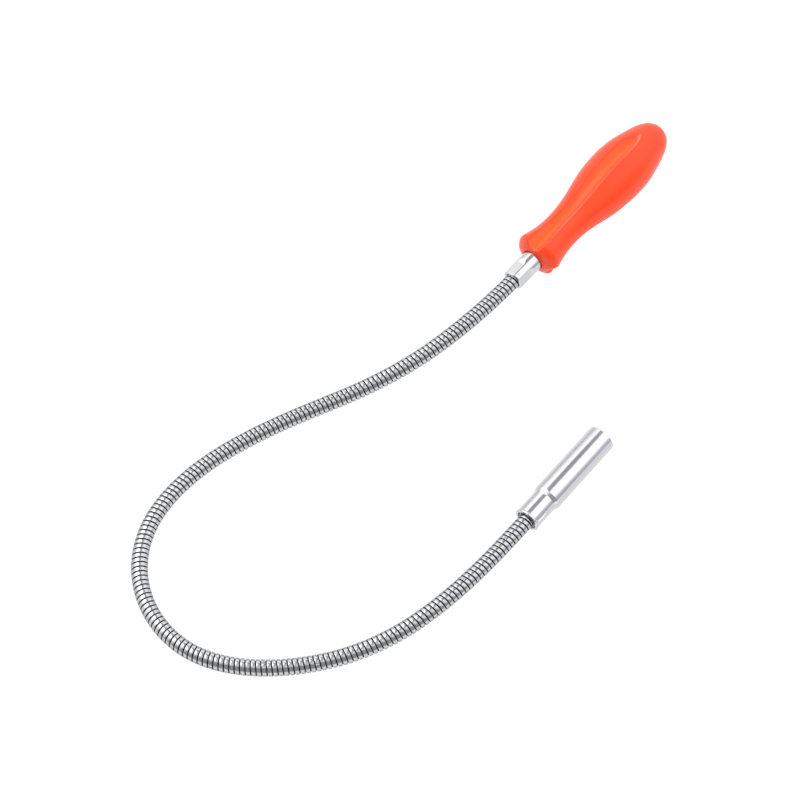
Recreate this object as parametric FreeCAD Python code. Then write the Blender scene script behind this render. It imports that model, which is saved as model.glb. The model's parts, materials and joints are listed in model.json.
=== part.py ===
import FreeCAD, Part
import math
import os

# Flexible magnetic pickup tool: a fluted plastic handle, a crimped ferrule, a stay-put gooseneck of two
# wires wound together, and a stepped magnet head. Millimetres, +Z up, lying on the bench at Z = 0.
# The origin is on the bench under the middle of the tool's box.

Vector = FreeCAD.Vector
UP = Vector(0, 0, 1)

# Handle, as (distance behind its front face, radius): the rounded nose's poles, the side from the flare
# over the waist and the bulge, and the floor of the flutes. Angles run from its left side to its top.
HANDLE_LENGTH = 88.7
NOSE_POLES = ((0.0, 5.7), (0.3, 7.8), (1.4, 10.4))
HANDLE_SIDE = (
    (4.2, 10.87),
    (8.0, 9.95),
    (12.0, 9.15),
    (19.0, 8.6),
    (28.0, 9.1),
    (36.0, 10.5),
    (44.0, 12.25),
    (56.0, 13.4),
    (66.0, 12.85),
    (76.0, 10.55),
)
BUTT_HANDLE_LENGTH = 6.0
BUTT_POLE_R = 7.0
FLUTES = 3
FLUTE_TURN = 97.0
FLUTE_CUTTER_R = 5.0
FLUTE_FLOOR = (
    (-14.0, 7.15),
    (6.0, 7.15),
    (19.0, 7.05),
    (30.0, 7.75),
    (42.0, 9.95),
    (55.0, 11.5),
    (67.0, 11.2),
    (82.0, 10.8),
)
HANDLE_BORE_DEPTH = 26.0
DRILL_POINT_LENGTH = 2.0

# Ferrule
FERRULE_R = 4.9
FERRULE_BORE_R = 3.65
FERRULE_SHOWS = 14.0
FERRULE_IN_HANDLE = 22.0
CRIMP_FLATS = 4
CRIMP_TURN = 22.5
CRIMP_LENGTH = 10.5
CRIMP_RAMP = 3.5
CRIMP_DEPTH = 0.5

# Gooseneck: the outer wire is a wedge that sits in the groove between the turns of the inner round wire
HOSE_R = 3.55
PITCH = 2.15
WEDGE_EDGE_R, WEDGE_SHOULDER_R, WEDGE_TIP_R = 3.36, 3.05, 2.56
WEDGE_HALF, WEDGE_CROWN_HALF, WEDGE_TIP_HALF = 0.87, 0.35, 0.2
SPRING_R = 2.2
SPRING_WIRE_R = 0.78
SPRING_WIRE_SIDES = 10
HOSE_IN_FERRULE = 14.0
HOSE_IN_HEAD = 9.0

# Magnet head
BARREL_R = 6.35
NECK_R = 5.55
NECK_LENGTH = 12.3
NECK_LIP_R = 5.85
NECK_LIP_LENGTH = 0.7
STEP_LENGTH = 1.5
HEAD_LENGTH = 51.2
HEAD_WALL = 0.9
RIM_CHAMFER = 0.35
MAGNET_LENGTH = 14.0
MAGNET_SET_BACK = 0.3
PLUG_LENGTH = 8.0
COLLAR_SET_BACK = 0.8
COLLAR_LENGTH = 7.0
FIT_GAP = 0.05

# How the gooseneck lies. It bends at stations; "side" bends lie flat on the bench and turn left when
# positive, "lift" bends rise when positive. Each entry: the run before the station, the bend's plane,
# the bend at rest and the most it bends either way from straight, in millimetres and degrees.
START = Vector(45.28, 53.37, 10.0)
START_HEADING = -131.2
START_SLOPE = -2.88
STATIONS = (
    (14.0, "side", -8.0, 35.0),
    (22.0, "lift", -2.32, 45.0),
    (24.5, "side", -15.0, 45.0),
    (26.5, "lift", 5.2, 45.0),
    (26.5, "side", 2.0, 45.0),
    (22.5, "side", 6.0, 33.0),
    (21.0, "side", 10.0, 33.0),
    (21.0, "side", 15.5, 33.0),
    (21.0, "side", 24.5, 33.0),
    (11.0, "lift", 0.0, 33.0),
    (11.0, "side", 26.5, 33.0),
    (21.5, "side", 25.5, 33.0),
    (21.0, "side", 26.5, 33.0),
    (21.0, "side", 15.5, 33.0),
    (21.0, "side", 19.0, 35.0),
    (23.0, "lift", 3.4, 45.0),
    (23.0, "side", 25.0, 45.0),
    (24.0, "lift", -3.4, 45.0),
    (25.0, "side", 8.5, 45.0),
)
LAST_RUN = 26.7
STATION_CLEARANCE = 0.15


def start_axes():
    """The first run's direction and its left side."""
    h = math.radians(START_HEADING)
    s = math.radians(START_SLOPE)
    along = Vector(math.cos(h) * math.cos(s), math.sin(h) * math.cos(s), math.sin(s))
    return along, Vector(-math.sin(h), math.cos(h), 0)


def turned(v, axis, angle):
    return FreeCAD.Rotation(axis, angle).multVec(v)


def route():
    """The straight runs (start, direction, left, length) and the stations (point, axis) between them."""
    along, left = start_axes()
    point = Vector(START)
    runs = []
    stations = []
    for length, plane, bend, limit in STATIONS:
        runs.append((Vector(point), along, left, length))
        point = point + along * length
        axis = UP if plane == "side" else left * -1
        stations.append((Vector(point), axis, bend, limit))
        along = turned(along, axis, bend)
        left = turned(left, axis, bend)
    runs.append((Vector(point), along, left, LAST_RUN))
    return runs, stations


def half_gap(limit):
    """How far a run stops short of a station, so that its neighbour clears it at the sharpest bend."""
    return HOSE_R * math.tan(math.radians(limit / 2)) + STATION_CLEARANCE


def placed(shape, origin, along, left):
    """A shape made along +X, with +Y to its left, moved to a place on the tool."""
    rotation = FreeCAD.Rotation(along, left, along.cross(left), "XYZ")
    moved = shape.copy()
    moved.Placement = FreeCAD.Placement(origin, rotation) * shape.Placement
    return moved


def revolved(points):
    """A solid turned about X from (x, r) points."""
    corners = [Vector(x, r, 0) for x, r in points]
    face = Part.Face(Part.makePolygon(corners + corners[:1]))
    return face.revolve(Vector(0, 0, 0), Vector(1, 0, 0), 360)


def rod(x0, x1, r):
    return Part.makeCylinder(r, x1 - x0, Vector(x0, 0, 0), Vector(1, 0, 0))


def tube(x0, x1, outer, inner):
    return rod(x0, x1, outer).cut(rod(x0, x1, inner))


def handle_points(pairs, offset=0.0):
    """Points at the given distances behind the front face, from the given radii."""
    return [Vector(-x, r + offset, 0) for x, r in pairs]


def handle_body():
    side = Part.BSplineCurve()
    side.interpolate(handle_points(HANDLE_SIDE))
    side_start, side_end = side.StartPoint, side.EndPoint
    nose = Part.BezierCurve()
    nose.setPoles(handle_points(NOSE_POLES) + [side_start])
    butt = Part.BezierCurve()
    leaving = side.tangent(side.LastParameter)[0]
    butt_poles = [side_end, side_end + leaving * BUTT_HANDLE_LENGTH]
    butt.setPoles(butt_poles + handle_points(((HANDLE_LENGTH, BUTT_POLE_R), (HANDLE_LENGTH, 0.0))))
    front = Part.makeLine(Vector(0, 0, 0), nose.StartPoint)
    middle = Part.makeLine(butt.EndPoint, Vector(0, 0, 0))
    outline = Part.Wire([front, nose.toShape(), side.toShape(), butt.toShape(), middle])
    return Part.Face(outline).revolve(Vector(0, 0, 0), Vector(1, 0, 0), 360)


def flute_cutter(turn):
    """A round bar along the flute's floor, which leaves the handle's side near the butt."""
    line = Part.BSplineCurve()
    line.interpolate(handle_points(FLUTE_FLOOR, FLUTE_CUTTER_R))
    spine = Part.Wire([line.toShape()])
    ring = Part.makeCircle(FLUTE_CUTTER_R, line.StartPoint, line.tangent(line.FirstParameter)[0])
    bar = spine.makePipeShell([Part.Wire([ring])], True, False)
    bar.rotate(Vector(0, 0, 0), Vector(1, 0, 0), turn)
    return bar


def handle():
    body = handle_body()
    for i in range(FLUTES):
        body = body.cut(flute_cutter(FLUTE_TURN + i * 360.0 / FLUTES))
    bore_r = FERRULE_R + FIT_GAP
    body = body.cut(rod(-HANDLE_BORE_DEPTH, 1.0, bore_r))
    bore_end = Vector(-HANDLE_BORE_DEPTH, 0, 0)
    return body.cut(Part.makeCone(bore_r, 0.0, DRILL_POINT_LENGTH, bore_end, Vector(-1, 0, 0)))


def crimp_jaw(turn):
    """What one jaw presses away: a flat that ramps down to its full depth and runs out at the hose end."""
    back = FERRULE_SHOWS - CRIMP_LENGTH
    floor = FERRULE_R - CRIMP_DEPTH
    side = (
        (back, FERRULE_R),
        (back + CRIMP_RAMP, floor),
        (FERRULE_SHOWS + CRIMP_RAMP, floor),
        (FERRULE_SHOWS + CRIMP_RAMP, FERRULE_R * 2),
        (back, FERRULE_R * 2),
    )
    corners = [Vector(x, r, -FERRULE_R) for x, r in side]
    jaw = Part.Face(Part.makePolygon(corners + corners[:1])).extrude(Vector(0, 0, FERRULE_R * 2))
    jaw.rotate(Vector(0, 0, 0), Vector(1, 0, 0), turn)
    return jaw


def ferrule():
    """Its hose end is at +X."""
    sleeve = tube(-FERRULE_IN_HANDLE, FERRULE_SHOWS, FERRULE_R, FERRULE_BORE_R)
    for i in range(CRIMP_FLATS):
        sleeve = sleeve.cut(crimp_jaw(CRIMP_TURN + i * 360.0 / CRIMP_FLATS))
    return sleeve


def wound(profile, radius, length):
    """A wire of the given profile wound round X, with flat ends square to X."""
    spine = Part.Wire(Part.makeHelix(PITCH, length + 4 * PITCH, radius).Edges)
    pipe = Part.BRepOffsetAPI.MakePipeShell(spine)
    pipe.setFrenetMode(True)
    pipe.add(profile)
    pipe.build()
    pipe.makeSolid()
    wire = pipe.shape()
    wire.translate(Vector(0, 0, -2 * PITCH))
    window = Part.makeCylinder(HOSE_R + 1.0, length)
    trimmed = max(wire.common(window).Solids, key=lambda s: s.Volume)
    trimmed.rotate(Vector(0, 0, 0), Vector(0, 1, 0), 90)
    return trimmed


def wedge_wire(length):
    half = (
        (WEDGE_TIP_R, WEDGE_TIP_HALF),
        (WEDGE_SHOULDER_R, WEDGE_HALF),
        (WEDGE_EDGE_R, WEDGE_HALF),
        (HOSE_R, WEDGE_CROWN_HALF),
    )
    corners = [Vector(r, 0, z) for r, z in half] + [Vector(r, 0, -z) for r, z in reversed(half)]
    return wound(Part.makePolygon(corners + corners[:1]), SPRING_R, length)


def spring_wire(length):
    corners = []
    for i in range(SPRING_WIRE_SIDES):
        a = 2 * math.pi * (i + 0.5) / SPRING_WIRE_SIDES
        r = SPRING_R + SPRING_WIRE_R * math.cos(a)
        corners.append(Vector(r, 0, PITCH / 2 + SPRING_WIRE_R * math.sin(a)))
    return wound(Part.makePolygon(corners + corners[:1]), SPRING_R, length)


def hose_spans():
    """Where each length of hose starts and ends along its run."""
    runs, stations = route()
    gaps = [half_gap(limit) for _, _, _, limit in stations]
    spans = []
    for i, (start, along, left, length) in enumerate(runs):
        first = -HOSE_IN_FERRULE if i == 0 else gaps[i - 1]
        last = length + HOSE_IN_HEAD if i == len(runs) - 1 else length - gaps[i]
        spans.append((start + along * first, along, left, last - first))
    return spans


def magnet_housing():
    """A stepped tube; X = 0 is its rear rim and its open tip is at +X."""
    outer = revolved((
        (0.0, 0.0),
        (0.0, NECK_LIP_R),
        (NECK_LIP_LENGTH, NECK_LIP_R),
        (NECK_LIP_LENGTH + RIM_CHAMFER, NECK_R),
        (NECK_LENGTH, NECK_R),
        (NECK_LENGTH + STEP_LENGTH, BARREL_R),
        (HEAD_LENGTH - RIM_CHAMFER, BARREL_R),
        (HEAD_LENGTH, BARREL_R - RIM_CHAMFER),
        (HEAD_LENGTH, 0.0),
    ))
    bore = revolved((
        (-1.0, 0.0),
        (-1.0, NECK_R - HEAD_WALL),
        (NECK_LENGTH, NECK_R - HEAD_WALL),
        (NECK_LENGTH + STEP_LENGTH, BARREL_R - HEAD_WALL),
        (HEAD_LENGTH + 1.0, BARREL_R - HEAD_WALL),
        (HEAD_LENGTH + 1.0, 0.0),
    ))
    return outer.cut(bore)


def write(name, shape):
    shape.exportStep("parts/" + name + ".step")


def handle_group():
    runs, _ = route()
    start, along, left, _ = runs[0]
    front = start - along * FERRULE_SHOWS
    write("handle", placed(handle(), front, along, left))
    write("handle_ferrule", placed(ferrule(), front, along, left))


def gooseneck():
    for i, (start, along, left, length) in enumerate(hose_spans()):
        write("outer_coil_%02d" % i, placed(wedge_wire(length), start, along, left))
        write("inner_coil_%02d" % i, placed(spring_wire(length), start, along, left))


def head_group():
    runs, _ = route()
    start, along, left, length = runs[-1]
    rear = start + along * length
    core_r = BARREL_R - HEAD_WALL - FIT_GAP
    magnet_back = HEAD_LENGTH - MAGNET_SET_BACK - MAGNET_LENGTH
    collar_end = COLLAR_SET_BACK + COLLAR_LENGTH
    pieces = {
        "magnet_housing": magnet_housing(),
        "magnet": rod(magnet_back, magnet_back + MAGNET_LENGTH, core_r),
        "backing_plug": rod(magnet_back - PLUG_LENGTH, magnet_back - FIT_GAP, core_r),
        "hose_collar": tube(COLLAR_SET_BACK, collar_end, NECK_R - HEAD_WALL - FIT_GAP, HOSE_R + FIT_GAP),
    }
    for name, shape in pieces.items():
        write(name, placed(shape, rear, along, left))


def main():
    os.makedirs("parts", exist_ok=True)
    handle_group()
    gooseneck()
    head_group()


main()
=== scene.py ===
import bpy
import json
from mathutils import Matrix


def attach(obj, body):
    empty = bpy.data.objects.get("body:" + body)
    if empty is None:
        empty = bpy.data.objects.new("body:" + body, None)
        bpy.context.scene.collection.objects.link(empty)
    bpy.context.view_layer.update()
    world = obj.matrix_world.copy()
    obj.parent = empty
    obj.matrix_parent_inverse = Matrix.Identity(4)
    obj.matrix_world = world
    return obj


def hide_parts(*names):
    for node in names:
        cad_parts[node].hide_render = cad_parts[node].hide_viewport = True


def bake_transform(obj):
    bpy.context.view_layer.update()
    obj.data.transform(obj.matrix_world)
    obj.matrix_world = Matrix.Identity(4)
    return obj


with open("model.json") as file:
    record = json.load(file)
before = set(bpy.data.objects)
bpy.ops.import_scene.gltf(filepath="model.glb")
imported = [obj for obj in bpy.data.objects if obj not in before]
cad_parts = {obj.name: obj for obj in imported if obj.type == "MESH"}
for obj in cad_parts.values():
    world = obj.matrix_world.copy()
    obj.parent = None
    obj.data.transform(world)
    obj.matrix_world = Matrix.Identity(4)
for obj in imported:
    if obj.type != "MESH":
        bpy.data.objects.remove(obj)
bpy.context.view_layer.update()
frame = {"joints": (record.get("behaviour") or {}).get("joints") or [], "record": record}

import json
import math

import bpy
import numpy as np
from mathutils import Vector

# Flexible magnetic pickup tool. Sizes are in millimetres and are multiplied by MM where a mesh is made.
MM = 0.001

# Where the gooseneck leaves the ferrule, and which way it runs there
START = np.array((45.28, 53.37, 10.0))
START_HEADING = -131.2
START_SLOPE = -2.88

# A closed round end's last ring is this small, and a rounded corner has this many points
CENTRE_R = 0.02
CORNER_STEPS = 5

# Handle, as (distance behind its front face, radius): the nose's poles, the side, and the flutes' floor.
# Angles on every round piece run from its left side to its top.
HANDLE_LENGTH = 88.7
NOSE_POLES = ((0.0, 5.7), (0.3, 7.8), (1.4, 10.4))
HANDLE_SIDE = (
    (4.2, 10.87), (8.0, 9.95), (12.0, 9.15), (19.0, 8.6), (28.0, 9.1),
    (36.0, 10.5), (44.0, 12.25), (56.0, 13.4), (66.0, 12.85), (76.0, 10.55),
)
BUTT_HANDLE_LENGTH = 6.0
BUTT_POLE_R = 7.0
NOSE_SAMPLES, SIDE_SAMPLES, BUTT_SAMPLES = 30, 120, 40
HANDLE_SIDES = 360
FLUTES = 3
FLUTE_TURN = 97.0
FLUTE_CUTTER_R = 5.0
FLUTE_FLOOR = (
    (-14.0, 7.15), (6.0, 7.15), (19.0, 7.05), (30.0, 7.75),
    (42.0, 9.95), (55.0, 11.5), (67.0, 11.2), (82.0, 10.8),
)
FLUTE_SAMPLES = 400
CRISP_EDGE, SOFT_EDGE = 0.12, 1.1
HANDLE_BORE_DEPTH = 26.0
DRILL_POINT_LENGTH = 2.0
MOUTH_BEVEL_LENGTH, MOUTH_BEVEL = 0.35, 0.3

# What the handle's colour follows: how deep in a flute a point is, and how near it is to a flute's crisp
# edge, along which a highlight is painted
FLUTE_DEPTH = "flute_depth"
FULL_DEPTH = 1.8
FLUTE_CREST_HIGHLIGHT = "flute_crest_painted_highlight"
# Painted highlight: a lighter, pinker colour this wide along each flute's crisp edge
PAINTED_HIGHLIGHT_WIDTH = 0.42
PAINTED_HIGHLIGHT_COLOR = (1.0, 0.21, 0.13, 1.0)

# Ferrule
FERRULE_R = 4.9
FERRULE_BORE_R = 3.65
FERRULE_SHOWS = 14.0
FERRULE_IN_HANDLE = 22.0
CRIMP_FLATS = 4
CRIMP_TURN = 22.5
CRIMP_LENGTH = 10.5
CRIMP_RAMP = 3.5
CRIMP_DEPTH = 0.5
CRIMP_CORNER_SOFTNESS = 0.05
LIP_KINK = 0.45
LIP_REACH = 4.0
LIP_LEVEL = 0.6
LIP_EDGE, LIP_BEVEL = 0.05, 0.18
BORE_BEVEL = 0.12
FERRULE_SIDES = 240

# Gooseneck. Its line turns only at the hinges that bend sideways, whose axes have a z above UPRIGHT_AXIS.
HOSE_R = 3.55
PITCH = 2.15
HOSE_IN_FERRULE = 14.0
HOSE_IN_HEAD = 9.0
SPRING_R = 2.2
SPRING_WIRE_R = 0.78
BAND_HALF = 0.79
BAND_EDGE_R = 3.48
CROWN_ANGLES = np.radians((-82, -62, -42, -21, 0, 21, 42, 62, 82))
WEDGE_FLANK = ((BAND_HALF - 0.02, BAND_EDGE_R - 0.12), (BAND_HALF - 0.08, 3.0), (0.2, 2.58))
STRAIGHT_IN_FERRULE, STRAIGHT_PAST_FERRULE = 4.0, 2.0
STRAIGHT_AT_HEAD = 3.0
UPRIGHT_AXIS = 0.5
CORNER_EASE = 0.17
RISE_EASE = 10.0
RISE_SAMPLES = 21
CENTRELINE_SAMPLES = 7000
STEPS_PER_TURN = 40
SPRING_STEPS_PER_TURN = 28
SPRING_SIDES = 10

# Magnet head, with x running from its rear rim to its tip
HEAD_LENGTH = 51.2
BARREL_R = 6.35
NECK_R = 5.55
NECK_LENGTH = 12.3
NECK_LIP_R = 5.85
NECK_LIP_LENGTH = 0.7
NECK_LIP_SLOPE_LENGTH = 0.5
STEP_LENGTH = 1.5
HEAD_WALL = 0.9
HOUSING_EDGE_R, HOUSING_BORE_EDGE_R = 0.3, 0.2
HOUSING_SIDES = 360
STAKE_TURN = 151.0
STAKE_FROM, STAKE_TO = 1.2, 7.4
STAKE_HALF_WIDTH = 0.5
STAKE_FULLNESS = 0.6
STAKE_DEPTH = 0.35
FINE_FROM, FINE_TO, FINE_STEP = STAKE_FROM - 0.2, STAKE_TO + 0.4, 0.15
MAGNET_LENGTH = 14.0
MAGNET_SET_BACK = 0.3
PLUG_LENGTH = 8.0
COLLAR_SET_BACK = 0.8
COLLAR_LENGTH = 7.0
ROD_EDGE_R, COLLAR_EDGE_R = 0.25, 0.2
INNER_PIECE_SIDES = 128
FIT_GAP = 0.05

# Light: the studio's brightness against height, from the horizon up. Its low part is darker to the
# right, its front is dim, and it has one small dark opening overhead.
BRIGHT_SIDE = (
    (0.0, (0.74, 0.74, 0.74)), (0.24, (0.78, 0.78, 0.78)), (0.44, (1.0, 1.0, 1.0)),
    (0.955, (1.0, 1.0, 1.0)), (0.99, (0.55, 0.55, 0.55)),
)
DARK_SIDE = ((0.0, (0.44, 0.43, 0.49)), (0.30, (0.44, 0.43, 0.49)), (0.60, (1.0, 1.0, 1.0)))
DARK_SIDE_TOWARDS = (0.92, -0.39, 0.0)
DARK_SIDE_FROM, DARK_SIDE_TO = 0.74, 0.90
OPENING_TOWARDS = (0.05, 0.47, 0.88)
OPENING_EDGE, OPENING_CORE = 0.935, 0.985
OPENING_LEVEL = 0.26
FRONT_TOWARDS = (0.0, -1.0, 0.0)
FRONT_FROM, FRONT_TO = 0.08, 0.60
FRONT_LEVEL = 0.27
SKY_STRENGTH = 1.30

# Lamps, in metres and watts. Both face the frame's origin, and the fill shows in no reflection.
KEY_PLACE, KEY_SIZE, KEY_POWER = (-0.9, 0.5, 1.5), 1.4, 9.0
FILL_PLACE, FILL_SIZE, FILL_POWER = (0.8, -0.7, 0.9), 1.0, 6.0

# White floor, in metres, set below the bench so that it hides nothing when the gooseneck bends down. It
# glows, so no shadow shows on it.
FLOOR_DROP = 0.5
FLOOR_HALF = 12.0
FLOOR_COLOR = (0.10, 0.10, 0.10)
FLOOR_GLOW = 0.95

# Camera: height angle above the bench, distance, lens, sensor, nearest distance seen in metres, and the
# point on the bench it looks at
CAMERA_ELEVATION = 60.0
CAMERA_DISTANCE = 1170.0
CAMERA_LENS = 122.4
CAMERA_SENSOR = 36.0
CAMERA_CLIP_START = 0.01
CAMERA_AIM = np.array((-3.92, -1.03, 0.0))


def unit(v):
    """The given vector at length 1."""
    v = np.asarray(v, float)
    return v / np.linalg.norm(v)


# ---------------------------------------------------------------- curves

def spline(points, count):
    """Points along a natural cubic spline through the given ones, evenly spaced in chord length."""
    p = np.asarray(points, float)
    t = np.concatenate(([0.0], np.cumsum(np.linalg.norm(np.diff(p, axis=0), axis=1))))
    h = np.diff(t)
    n = len(p)
    a = np.eye(n)
    b = np.zeros_like(p)
    for i in range(1, n - 1):
        a[i, i - 1:i + 2] = h[i - 1], 2 * (h[i - 1] + h[i]), h[i]
        b[i] = 6 * ((p[i + 1] - p[i]) / h[i] - (p[i] - p[i - 1]) / h[i - 1])
    m = np.linalg.solve(a, b)
    u = np.linspace(0, t[-1], count)
    k = np.clip(np.searchsorted(t, u, side="right") - 1, 0, n - 2)
    lo = ((t[k + 1] - u) / h[k])[:, None]
    hi = ((u - t[k]) / h[k])[:, None]
    hk = h[k][:, None]
    bend = ((lo ** 3 - lo) * m[k] + (hi ** 3 - hi) * m[k + 1]) * hk ** 2 / 6
    return lo * p[k] + hi * p[k + 1] + bend


def bezier(poles, count):
    """Points along the cubic curve with four given poles."""
    p = np.asarray(poles, float)
    t = np.linspace(0, 1, count)[:, None]
    s = 1 - t
    return s ** 3 * p[0] + 3 * s * s * t * p[1] + 3 * s * t * t * p[2] + t ** 3 * p[3]


# ---------------------------------------------------------------- meshes

def grid_mesh(name, rings, material, closed_ends=True, other=None, other_columns=()):
    """A tube-like mesh through rings of equally many points, in millimetres, smooth shaded."""
    rings = np.asarray(rings, float)
    n, m = rings.shape[:2]
    base = np.arange(n * m).reshape(n, m)
    nxt = np.roll(base, -1, axis=1)
    quads = np.stack([base[:-1], nxt[:-1], nxt[1:], base[1:]], axis=-1).reshape(-1, 4)
    faces = quads.tolist()
    if closed_ends:
        faces.append(base[0][::-1].tolist())
        faces.append(base[-1].tolist())
    mesh = bpy.data.meshes.new(name)
    mesh.from_pydata((rings.reshape(-1, 3) * MM).tolist(), [], faces)
    mesh.materials.append(material)
    if other:
        mesh.materials.append(other)
        slots = np.zeros(len(faces), np.int32)
        columns = np.isin(np.arange(m), other_columns).astype(np.int32)
        slots[:(n - 1) * m] = np.tile(columns, n - 1)
        mesh.polygons.foreach_set("material_index", slots)
    mesh.shade_smooth()
    piece = bpy.data.objects.new(name, mesh)
    bpy.context.scene.collection.objects.link(piece)
    return piece


class Place:
    """A local frame on the tool: x along, y left, z up."""

    def __init__(self, origin, along):
        self.origin = np.asarray(origin, float)
        self.along = unit(along)
        self.left = unit(np.cross((0, 0, 1), self.along))
        self.up = np.cross(self.along, self.left)

    def world(self, p):
        p = np.asarray(p, float)
        return self.origin + p[..., :1] * self.along + p[..., 1:2] * self.left + p[..., 2:] * self.up


def turned_rings(outline, sides, radius_at=None):
    """Rings about x from (x, r) points. radius_at may change r with the angle, which runs left to up."""
    angle = np.arange(sides) * 2 * math.pi / sides
    rings = []
    for x, r in outline:
        rr = np.full(sides, r) if radius_at is None else radius_at(x, r, angle)
        rings.append(np.stack([np.full(sides, x), rr * np.cos(angle), rr * np.sin(angle)], axis=1))
    return np.array(rings)


def rounded(corners, radius):
    """An open (x, r) outline with every corner between its two ends rounded off."""
    p = [np.array(c, float) for c in corners]
    out = [p[0]]
    for a, b, c in zip(p, p[1:], p[2:]):
        cut = min(radius, np.linalg.norm(b - a) * 0.45, np.linalg.norm(c - b) * 0.45)
        first = b + unit(a - b) * cut
        last = b + unit(c - b) * cut
        for t in np.linspace(0, 1, CORNER_STEPS):
            out.append(first * (1 - t) ** 2 + b * 2 * t * (1 - t) + last * t ** 2)
    out.append(p[-1])
    return out


# ---------------------------------------------------------------- materials

def new_material(name, color, metallic, roughness):
    mat = bpy.data.materials.new(name)
    mat.use_nodes = True
    nodes = mat.node_tree.nodes
    shader = nodes["Principled BSDF"]
    shader.inputs["Base Color"].default_value = (*color, 1)
    shader.inputs["Metallic"].default_value = metallic
    shader.inputs["Roughness"].default_value = roughness
    return mat, mat.node_tree, shader


def noise(tree, scale, detail):
    """A noise texture in object space, in metres."""
    coords = tree.nodes.new("ShaderNodeTexCoord")
    tex = tree.nodes.new("ShaderNodeTexNoise")
    tex.inputs["Scale"].default_value = scale
    tex.inputs["Detail"].default_value = detail
    tree.links.new(coords.outputs["Object"], tex.inputs["Vector"])
    return tex.outputs["Fac"]


def ramp(tree, source, stops):
    """Colours against a value, from (place, color) stops."""
    node = tree.nodes.new("ShaderNodeValToRGB")
    elements = node.color_ramp.elements
    while len(elements) < len(stops):
        elements.new(0.5)
    for element, (place, color) in zip(elements, stops):
        element.position = place
        element.color = (*color, 1)
    tree.links.new(source, node.inputs["Fac"])
    return node.outputs["Color"]


def mixed(tree, factor, a, b):
    """Colour a where factor is 0, b where it is 1. b is a node's output or a colour."""
    node = tree.nodes.new("ShaderNodeMix")
    node.data_type = "RGBA"
    tree.links.new(factor, node.inputs[0])
    tree.links.new(a, node.inputs[6])
    if hasattr(b, "links"):
        tree.links.new(b, node.inputs[7])
    else:
        node.inputs[7].default_value = b
    return node.outputs[2]


def spread(tree, source, low, high):
    """A value from 0 to 1 spread over low to high."""
    node = tree.nodes.new("ShaderNodeMapRange")
    node.inputs["To Min"].default_value = low
    node.inputs["To Max"].default_value = high
    tree.links.new(source, node.inputs["Value"])
    return node.outputs["Result"]


def bump(tree, shader, source, height_mm, strength):
    node = tree.nodes.new("ShaderNodeBump")
    node.inputs["Strength"].default_value = strength
    node.inputs["Distance"].default_value = height_mm * MM
    tree.links.new(source, node.inputs["Height"])
    tree.links.new(node.outputs["Normal"], shader.inputs["Normal"])


def plated(name, color, low, high, rim=None, turning=(0.2, 0.36)):
    """Plating with a fine grain and a roughness that varies from low to high. With a rim color, it goes to
    that darker color where it turns away, over the turning range: painted shade on the edges."""
    mat, tree, shader = new_material(name, color, 1.0, low)
    if rim:
        weight = tree.nodes.new("ShaderNodeLayerWeight")
        tone = ramp(tree, weight.outputs["Facing"], ((turning[0], color), (turning[1], rim)))
        tree.links.new(tone, shader.inputs["Base Color"])
    tree.links.new(spread(tree, noise(tree, 260.0, 4.0), low, high), shader.inputs["Roughness"])
    bump(tree, shader, noise(tree, 900.0, 2.0), height_mm=0.01, strength=0.06)
    return mat


def handle_plastic():
    """Orange plastic, a little lighter inside the flutes, with a painted highlight along each flute's
    crisp edge.
    """
    mat, tree, shader = new_material("handle_orange_plastic", (0.98, 0.08, 0.012), 0.0, 0.38)
    shader.inputs["Specular IOR Level"].default_value = 0.42
    shader.inputs["Subsurface Weight"].default_value = 0.12
    shader.inputs["Subsurface Radius"].default_value = (1.0, 0.25, 0.1)
    shader.inputs["Subsurface Scale"].default_value = 0.002
    full = ((0.3, (0.97, 0.056, 0.006)), (0.7, (1.0, 0.072, 0.010)))
    fluted = ((0.3, (0.98, 0.100, 0.012)), (0.7, (1.0, 0.124, 0.017)))
    depth = tree.nodes.new("ShaderNodeAttribute")
    depth.attribute_name = FLUTE_DEPTH
    crest_highlight = tree.nodes.new("ShaderNodeAttribute")
    crest_highlight.attribute_name = FLUTE_CREST_HIGHLIGHT
    outside = ramp(tree, noise(tree, 45.0, 3.0), full)
    inside = ramp(tree, noise(tree, 60.0, 3.0), fluted)
    body = mixed(tree, depth.outputs["Fac"], outside, inside)
    # Painted highlight along each flute's crisp edge
    tree.links.new(mixed(tree, crest_highlight.outputs["Fac"], body, PAINTED_HIGHLIGHT_COLOR), shader.inputs["Base Color"])
    tree.links.new(spread(tree, noise(tree, 380.0, 5.0), 0.26, 0.36), shader.inputs["Roughness"])
    bump(tree, shader, noise(tree, 1600.0, 3.0), height_mm=0.03, strength=0.12)
    return mat


plastic = handle_plastic()
# The chrome pieces' rim colours are painted shade: darker reflections painted onto the edges that turn
# away
wedge_chrome = plated(
    "gooseneck_wedge_chrome", (0.60, 0.61, 0.63), 0.10, 0.20, rim=(0.32, 0.32, 0.34), turning=(0.30, 0.62))
# Painted shade: the wedge wire's flanks face into the gaps between its bands and are near black, the shade
# in the gaps painted onto the wire
wedge_flank_painted_shade = plated("gooseneck_wedge_flank", (0.035, 0.035, 0.038), 0.35, 0.50)
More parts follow.
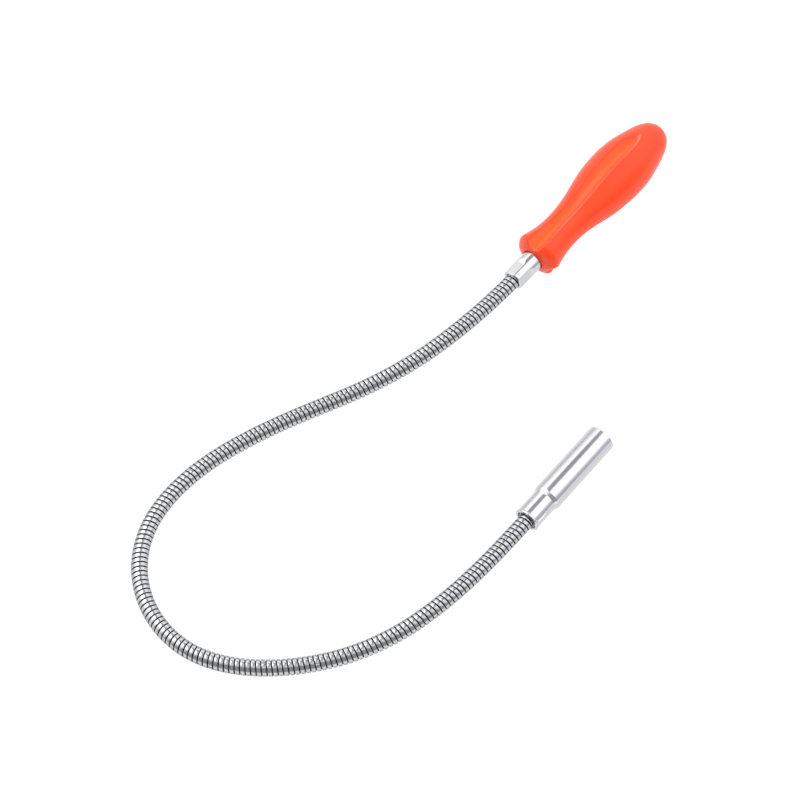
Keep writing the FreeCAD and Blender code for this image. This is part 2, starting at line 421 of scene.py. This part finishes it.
# Painted shade: the inner spring, seen only through the gaps, is near black, the shade in the gaps painted
# onto it
spring_painted_shade = plated("gooseneck_spring_steel", (0.05, 0.05, 0.055), 0.32, 0.46)
ferrule_chrome = plated("ferrule_chrome", (0.82, 0.82, 0.83), 0.09, 0.17, rim=(0.60, 0.60, 0.61))
housing_chrome = plated("housing_chrome", (0.82, 0.82, 0.84), 0.11, 0.19, rim=(0.60, 0.60, 0.62))
collar_steel = plated("collar_steel", (0.42, 0.42, 0.42), 0.30, 0.45)
plug_steel = plated("plug_steel", (0.45, 0.45, 0.45), 0.30, 0.45)
magnet_nickel = plated("magnet_nickel", (0.60, 0.59, 0.56), 0.16, 0.28)


# ---------------------------------------------------------------- handle and ferrule

def start_direction():
    """The way the gooseneck leaves the ferrule."""
    h = math.radians(START_HEADING)
    s = math.radians(START_SLOPE)
    return np.array((math.cos(h) * math.cos(s), math.sin(h) * math.cos(s), math.sin(s)))


def handle_outline():
    """(x, r) from the bore's front edge round the outside to the middle of the butt."""
    side = spline(HANDLE_SIDE, SIDE_SAMPLES)
    nose = bezier((*NOSE_POLES, HANDLE_SIDE[0]), NOSE_SAMPLES)
    leaving = unit(side[-1] - side[-2])
    butt_pole = side[-1] + leaving * BUTT_HANDLE_LENGTH
    last_poles = ((HANDLE_LENGTH, BUTT_POLE_R), (HANDLE_LENGTH, CENTRE_R))
    butt = bezier((side[-1], butt_pole, *last_poles), BUTT_SAMPLES)
    return np.vstack([nose[:-1], side, butt[1:]])


def soft_min(a, b, softness):
    """The smaller of two values, rounded off where they are closer than softness."""
    h = np.clip(0.5 + 0.5 * (b - a) / softness, 0, 1)
    return b * (1 - h) + a * h - softness * h * (1 - h)


def flute_cut(middle, angle):
    """The radius the flutes leave at each angle, and where a flute's crisp edge is the nearer one."""
    lowest = np.full(angle.shape, np.inf)
    crisp = np.zeros(angle.shape, bool)
    for i in range(FLUTES):
        off = angle - math.radians(FLUTE_TURN + i * 360.0 / FLUTES)
        side = middle * np.sin(off)
        hit = (np.abs(side) < FLUTE_CUTTER_R) & (np.cos(off) > 0)
        root = np.sqrt(np.clip(FLUTE_CUTTER_R ** 2 - side ** 2, 0, None))
        cut = np.where(hit, middle * np.cos(off) - root, middle + FLUTE_CUTTER_R)
        crisp = np.where(cut < lowest, side < 0, crisp)
        lowest = np.minimum(lowest, cut)
    return lowest, crisp


def make_handle(place):
    cutter = spline([(x, r + FLUTE_CUTTER_R) for x, r in FLUTE_FLOOR], FLUTE_SAMPLES)
    depths = []
    crest_highlights = []

    def radius_at(x, r, angle):
        cut, crisp = flute_cut(np.interp(x, cutter[:, 0], cutter[:, 1]), angle)
        depths.append(np.clip((r - cut) / FULL_DEPTH, 0, 1))
        # Painted highlight: how near a point is to a flute's crisp edge, where the colour is made lighter
        crest_highlights.append(np.clip(1 - np.abs(r - cut) / PAINTED_HIGHLIGHT_WIDTH, 0, 1) * crisp)
        softness = np.where(crisp, CRISP_EDGE, SOFT_EDGE)
        return np.minimum(soft_min(np.full(angle.shape, r), cut, softness), r)

    bore_r = FERRULE_R + FIT_GAP
    bore = [(HANDLE_BORE_DEPTH + DRILL_POINT_LENGTH, CENTRE_R), (HANDLE_BORE_DEPTH, bore_r),
            (MOUTH_BEVEL_LENGTH, bore_r), (0.0, bore_r + MOUTH_BEVEL)]
    plain = turned_rings(bore, HANDLE_SIDES)
    fluted = turned_rings(handle_outline(), HANDLE_SIDES, radius_at)
    rings = np.concatenate([plain, fluted])
    rings[..., 0] *= -1
    piece = grid_mesh("handle_grip", place.world(rings[::-1]), plastic)
    for name, values in ((FLUTE_DEPTH, depths), (FLUTE_CREST_HIGHLIGHT, crest_highlights)):
        values = np.concatenate([np.zeros(plain.shape[:2]), values])[::-1]
        layer = piece.data.attributes.new(name, "FLOAT", "POINT")
        layer.data.foreach_set("value", values.reshape(-1).astype(np.float32))
    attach(piece, "handle_end")
    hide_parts("handle")


def flatness(angle):
    """1 at the middle of each crimped flat, 0 at the corners between them."""
    return 0.5 + 0.5 * np.cos((angle - math.radians(CRIMP_TURN)) * CRIMP_FLATS)


def make_ferrule(place):
    end = FERRULE_SHOWS
    ramp_start = end - CRIMP_LENGTH
    ramp_end = ramp_start + CRIMP_RAMP

    def outside(x, r, angle):
        t = np.clip((x - ramp_start) / CRIMP_RAMP, 0, 1)
        depth = CRIMP_DEPTH * t * t * (3 - 2 * t)
        sector = 2 * math.pi / CRIMP_FLATS
        off = np.mod(angle - math.radians(CRIMP_TURN) + sector / 2, sector) - sector / 2
        flat = (FERRULE_R - depth) / np.cos(off)
        return soft_min(np.full(angle.shape, r), flat - (FERRULE_R - r), CRIMP_CORNER_SOFTNESS)

    plain = np.linspace(0, ramp_start, 6)
    ramp_places = np.linspace(ramp_start + 0.2, ramp_end, 24)
    crimped = np.linspace(ramp_end + 0.5, end - 0.2, 12)
    skin = [(x, FERRULE_R) for x in (-FERRULE_IN_HANDLE, *plain, *ramp_places, *crimped)]
    skin += [(end - LIP_EDGE, FERRULE_R - LIP_EDGE), (end, FERRULE_R - LIP_BEVEL)]
    bore = [(end, FERRULE_BORE_R + BORE_BEVEL), (end - BORE_BEVEL, FERRULE_BORE_R)]
    bore += [(x, FERRULE_BORE_R) for x in (*np.linspace(end - 1.0, end - 8.0, 8), -FERRULE_IN_HANDLE)]
    rings = np.concatenate([turned_rings(skin, FERRULE_SIDES, outside), turned_rings(bore, FERRULE_SIDES)])
    angle = np.arange(FERRULE_SIDES) * 2 * math.pi / FERRULE_SIDES
    near_lip = np.clip((rings[:, :, 0] - (end - LIP_REACH)) / LIP_REACH, 0, 1) ** 2
    rings[:, :, 0] += LIP_KINK * near_lip * (flatness(angle) ** 2 - LIP_LEVEL)
    rings = np.concatenate([rings, rings[:1]])
    piece = grid_mesh("ferrule_sleeve", place.world(rings), ferrule_chrome, closed_ends=False)
    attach(piece, "handle_end")
    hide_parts("handle_ferrule")


# ---------------------------------------------------------------- gooseneck

def joint_points():
    """The hinges' places along the gooseneck, from the handle to the head."""
    return [np.array(j["pos_m"]) / MM for j in frame["joints"]]


def head_axis():
    """The middle of the head's rear rim, and the way from there to its tip."""
    face = next(m for m in frame["record"]["mounts"] if m["name"] == "magnet_face")
    along = unit(face["axis"])
    tip = np.array(face["pos_m"]) / MM + along * MAGNET_SET_BACK
    return tip - along * HEAD_LENGTH, along


def along_path(points):
    """Each point's distance along the line through all of them."""
    return np.concatenate(([0.0], np.cumsum(np.linalg.norm(np.diff(points, axis=0), axis=1))))


def nearest(points, target):
    """The index of the point nearest to the target."""
    return int(np.argmin(np.linalg.norm(points - target, axis=1)))


def centreline():
    """The gooseneck's smooth middle line, sampled finely, with each sample's distance along it."""
    rear, head_along = head_axis()
    away = start_direction()
    first = START - away * HOSE_IN_FERRULE
    last = rear + head_along * HOSE_IN_HEAD
    turns = [p for p, j in zip(joint_points(), frame["joints"]) if abs(j["axis"][2]) > UPRIGHT_AXIS]
    chain = [START] + turns + [rear]
    eased = [b + CORNER_EASE * ((a + c) / 2 - b) for a, b, c in zip(chain, chain[1:], chain[2:])]
    leaving = [first, START - away * STRAIGHT_IN_FERRULE, START + away * STRAIGHT_PAST_FERRULE]
    arriving = [rear - head_along * STRAIGHT_AT_HEAD, rear + head_along * STRAIGHT_AT_HEAD, last]
    flat = spline(leaving + eased + arriving, CENTRELINE_SAMPLES)
    gone = along_path(flat[:, :2])
    knots = [first, START] + joint_points() + [rear, last]
    places = [gone[nearest(flat[:, :2], k[:2])] for k in knots]
    heights = np.array([k[2] for k in knots])
    steps = np.linspace(-RISE_EASE, RISE_EASE, RISE_SAMPLES)
    around = np.clip(gone[:, None] + steps, gone[0], gone[-1])
    ends = np.clip((gone - places[1]) / RISE_EASE, 0, 1) * np.clip((places[-2] - gone) / RISE_EASE, 0, 1)
    eased_height = np.interp(around, places, heights).mean(axis=1)
    flat[:, 2] = ends * eased_height + (1 - ends) * np.interp(gone, places, heights)
    return flat, along_path(flat)


def carried_frames(points):
    """Side and upper directions at each point, carried along the line without twisting."""
    along = np.gradient(points, axis=0)
    along /= np.linalg.norm(along, axis=1)[:, None]
    side = np.empty_like(points)
    side[0] = unit(np.cross((0, 0, 1), along[0]))
    for i in range(1, len(points)):
        s = side[i - 1] - along[i] * (side[i - 1] @ along[i])
        side[i] = s / np.linalg.norm(s)
    return side, np.cross(along, side)


class Gooseneck:
    """The middle line with its directions, and the cuts halfway from each hinge to the next or the end."""

    def __init__(self):
        self.points, self.gone = centreline()
        self.side, self.upper = carried_frames(self.points)
        rear, _ = head_axis()
        chain = [START] + joint_points() + [rear]
        middles = [(a + b) / 2 for a, b in zip(chain, chain[1:])]
        self.cuts = [self.gone[nearest(self.points, m)] for m in middles]

    def at(self, values, distance):
        """Values kept for each point of the line, read at distances along it."""
        return np.stack([np.interp(distance, self.gone, values[:, k]) for k in range(3)], axis=-1)

    def wound(self, name, wire, start, end):
        """A wire of (axial, radial) section points wound between two distances along the line."""
        count = max(2, int(math.ceil((end - start) / PITCH * wire["steps"])))
        s = np.linspace(start, end, count + 1)
        turn = 2 * math.pi * s / PITCH + wire["phase"]
        rings = []
        for axial, radial in wire["section"]:
            d = np.clip(s + axial, self.gone[0], self.gone[-1])
            middle = self.at(self.points, d)
            side = self.at(self.side, d)
            upper = self.at(self.upper, d)
            rings.append(middle + radial * (np.cos(turn)[:, None] * side + np.sin(turn)[:, None] * upper))
        return grid_mesh(name, np.stack(rings, axis=1), wire["material"],
                         other=wire.get("flank_painted_shade"), other_columns=wire.get("flank_columns", ()))


def wedge_section():
    """The wedge wire: a gently crowned band outside, with flanks that narrow to its tip inside."""
    rise = HOSE_R - BAND_EDGE_R
    crown = [(BAND_HALF * math.sin(a), BAND_EDGE_R + rise * math.cos(a)) for a in CROWN_ANGLES]
    return crown + list(WEDGE_FLANK) + [(-x, r) for x, r in reversed(WEDGE_FLANK)]


def spring_section():
    """The inner wire, round."""
    angles = np.arange(SPRING_SIDES) * 2 * math.pi / SPRING_SIDES
    return [(SPRING_WIRE_R * math.sin(a), SPRING_R + SPRING_WIRE_R * math.cos(a)) for a in angles]


WIRES = {
    "outer": {
        "section": wedge_section(), "steps": STEPS_PER_TURN, "phase": 0.0, "material": wedge_chrome,
        # The flanks take the near-black painted shade
        "flank_painted_shade": wedge_flank_painted_shade, "flank_columns": range(len(CROWN_ANGLES), len(wedge_section()) - 1),
        "slot": "outer_wire_chrome",
    },
    "inner": {
        "section": spring_section(), "steps": SPRING_STEPS_PER_TURN, "phase": math.pi,
        "material": spring_painted_shade, "slot": "inner_spring_steel",
    },
}


def make_gooseneck():
    """Both wires in lengths that each run across one hinge. The two end lengths run across none."""
    neck = Gooseneck()
    bodies = ["handle_end"] + [j["child"] for j in frame["joints"]]
    edges = [0.0] + neck.cuts + [float(neck.gone[-1])]
    for label, wire in WIRES.items():
        for i, (start, end) in enumerate(zip(edges, edges[1:])):
            piece = neck.wound("gooseneck_%s_%02d" % (label, i), wire, start, end)
            if i == 0:
                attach(piece, bodies[0])
            elif i == len(bodies):
                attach(piece, bodies[-1])
            else:
                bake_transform(piece)
            if i < len(bodies):
                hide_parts("%s_coil_%02d" % (label, i))


# ---------------------------------------------------------------- magnet head

def housing_outline():
    """(x, r) along the outside to the tip and back along the bore, with fine steps at the stake mark."""
    wall = HEAD_WALL
    outer = rounded((
        (0.0, NECK_R - wall), (0.0, NECK_LIP_R), (NECK_LIP_LENGTH, NECK_LIP_R),
        (NECK_LIP_LENGTH + NECK_LIP_SLOPE_LENGTH, NECK_R), (NECK_LENGTH, NECK_R),
        (NECK_LENGTH + STEP_LENGTH, BARREL_R), (HEAD_LENGTH, BARREL_R), (HEAD_LENGTH, BARREL_R - wall),
    ), HOUSING_EDGE_R)
    inner = rounded((
        (HEAD_LENGTH, BARREL_R - wall), (NECK_LENGTH + STEP_LENGTH, BARREL_R - wall),
        (NECK_LENGTH, NECK_R - wall), (0.0, NECK_R - wall),
    ), HOUSING_BORE_EDGE_R)
    neck = [np.array((x, NECK_R)) for x in np.arange(FINE_FROM, FINE_TO, FINE_STEP)]
    before = [p for p in outer if p[0] < FINE_FROM]
    after = [p for p in outer if p[0] > FINE_TO]
    return before + neck + after + inner[1:]


def staked(x, r, angle):
    """The neck's radius with the lengthwise stake mark that holds the gooseneck."""
    if r < NECK_R - 0.01 or not STAKE_FROM < x < STAKE_TO:
        return np.full(angle.shape, float(r))
    t = (x - STAKE_FROM) / (STAKE_TO - STAKE_FROM)
    half = STAKE_HALF_WIDTH * math.sin(math.pi * t) ** STAKE_FULLNESS
    off = (np.mod(angle - math.radians(STAKE_TURN) + math.pi, 2 * math.pi) - math.pi) * r
    return r - STAKE_DEPTH * np.clip(1 - (off / half) ** 2, 0, 1)


def rod(name, place, x0, x1, r, material):
    outline = rounded(((x0, CENTRE_R), (x0, r), (x1, r), (x1, CENTRE_R)), ROD_EDGE_R)
    return grid_mesh(name, place.world(turned_rings(outline, INNER_PIECE_SIDES)), material)


def ring(name, place, x0, x1, outer, inner, material):
    middle = (outer + inner) / 2
    corners = ((x0, middle), (x0, outer), (x1, outer), (x1, inner), (x0, inner), (x0, middle))
    rings = turned_rings(rounded(corners, COLLAR_EDGE_R), INNER_PIECE_SIDES)
    return grid_mesh(name, place.world(rings), material, closed_ends=False)


def make_head(place):
    """The housing and what it holds: the magnet, its backing plug and the collar round the gooseneck."""
    housing_rings = turned_rings(housing_outline(), HOUSING_SIDES, staked)
    housing = grid_mesh("head_housing", place.world(housing_rings), housing_chrome, closed_ends=False)
    core_r = BARREL_R - HEAD_WALL - FIT_GAP
    magnet_back = HEAD_LENGTH - MAGNET_SET_BACK - MAGNET_LENGTH
    magnet = rod("head_magnet", place, magnet_back, magnet_back + MAGNET_LENGTH, core_r, magnet_nickel)
    plug = rod("head_backing_plug", place, magnet_back - PLUG_LENGTH, magnet_back - FIT_GAP, core_r,
               plug_steel)
    collar = ring("head_collar", place, COLLAR_SET_BACK, COLLAR_SET_BACK + COLLAR_LENGTH,
                  NECK_R - HEAD_WALL - FIT_GAP, HOSE_R + FIT_GAP, collar_steel)
    for piece, node, slot_name in (
        (housing, "magnet_housing", "housing_chrome"),
        (magnet, "magnet", "magnet_nickel"),
        (plug, "backing_plug", "plug_steel"),
        (collar, "hose_collar", "collar_steel"),
    ):
        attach(piece, "magnet_end")
        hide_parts(node)


# ---------------------------------------------------------------- stage

def make_floor():
    mesh = bpy.data.meshes.new("floor")
    signs = ((-1, -1), (1, -1), (1, 1), (-1, 1))
    corners = [(x * FLOOR_HALF, y * FLOOR_HALF, -FLOOR_DROP) for x, y in signs]
    mesh.from_pydata(corners, [], [(0, 1, 2, 3)])
    floor = bpy.data.objects.new("floor", mesh)
    bpy.context.scene.collection.objects.link(floor)
    mat, _, shader = new_material("floor_white", FLOOR_COLOR, 0.0, 0.9)
    shader.inputs["Specular IOR Level"].default_value = 0.1
    shader.inputs["Emission Color"].default_value = (1.0, 1.0, 1.0, 1.0)
    shader.inputs["Emission Strength"].default_value = FLOOR_GLOW
    mesh.materials.append(mat)


def area_light(name, position, size, power):
    """A square lamp that faces the frame's origin."""
    light = bpy.data.lights.new(name, "AREA")
    light.shape = "RECTANGLE"
    light.size = size
    light.size_y = size
    light.energy = power
    lamp = bpy.data.objects.new(name, light)
    lamp.location = position
    bpy.context.scene.collection.objects.link(lamp)
    lamp.rotation_euler = (-Vector(position)).to_track_quat("-Z", "Y").to_euler()
    return lamp


def towards(tree, coords, direction, low, high):
    """0 where the direction looked in is far from the given one, 1 where it is close."""
    dot = tree.nodes.new("ShaderNodeVectorMath")
    dot.operation = "DOT_PRODUCT"
    dot.inputs[1].default_value = unit(direction)
    tree.links.new(coords, dot.inputs[0])
    node = tree.nodes.new("ShaderNodeMapRange")
    node.interpolation_type = "SMOOTHSTEP"
    node.inputs["From Min"].default_value = low
    node.inputs["From Max"].default_value = high
    tree.links.new(dot.outputs["Value"], node.inputs["Value"])
    return node.outputs["Result"]


def make_light():
    """The studio round the tool as the world's colour, then the two lamps."""
    world = bpy.data.worlds.new("studio")
    world.use_nodes = True
    tree = world.node_tree
    coords = tree.nodes.new("ShaderNodeTexCoord").outputs["Generated"]
    split = tree.nodes.new("ShaderNodeSeparateXYZ")
    tree.links.new(coords, split.inputs["Vector"])
    height = split.outputs["Z"]
    side = towards(tree, coords, DARK_SIDE_TOWARDS, DARK_SIDE_FROM, DARK_SIDE_TO)
    sky = mixed(tree, side, ramp(tree, height, BRIGHT_SIDE), ramp(tree, height, DARK_SIDE))
    opening = towards(tree, coords, OPENING_TOWARDS, OPENING_EDGE, OPENING_CORE)
    sky = mixed(tree, opening, sky, (OPENING_LEVEL, OPENING_LEVEL, OPENING_LEVEL, 1))
    front = towards(tree, coords, FRONT_TOWARDS, FRONT_FROM, FRONT_TO)
    sky = mixed(tree, front, sky, (FRONT_LEVEL, FRONT_LEVEL, FRONT_LEVEL, 1))
    background = tree.nodes["Background"]
    tree.links.new(sky, background.inputs["Color"])
    background.inputs["Strength"].default_value = SKY_STRENGTH
    bpy.context.scene.world = world
    area_light("key", KEY_PLACE, KEY_SIZE, KEY_POWER)
    fill = area_light("fill", FILL_PLACE, FILL_SIZE, FILL_POWER)
    fill.visible_glossy = False


def make_camera():
    e = math.radians(CAMERA_ELEVATION)
    offset = CAMERA_DISTANCE * np.array((0.0, -math.cos(e), math.sin(e)))
    data = bpy.data.cameras.new("camera")
    data.lens = CAMERA_LENS
    data.sensor_width = CAMERA_SENSOR
    data.clip_start = CAMERA_CLIP_START
    camera = bpy.data.objects.new("camera", data)
    camera.location = Vector((CAMERA_AIM + offset) * MM)
    camera.rotation_euler = Vector(-offset).to_track_quat("-Z", "Y").to_euler()
    bpy.context.scene.collection.objects.link(camera)
    bpy.context.scene.camera = camera


make_camera()
handle_place = Place(START - start_direction() * FERRULE_SHOWS, start_direction())
make_handle(handle_place)
make_ferrule(handle_place)
make_gooseneck()
make_head(Place(*head_axis()))
make_floor()
make_light()
bpy.context.scene.view_settings.view_transform = "Standard"
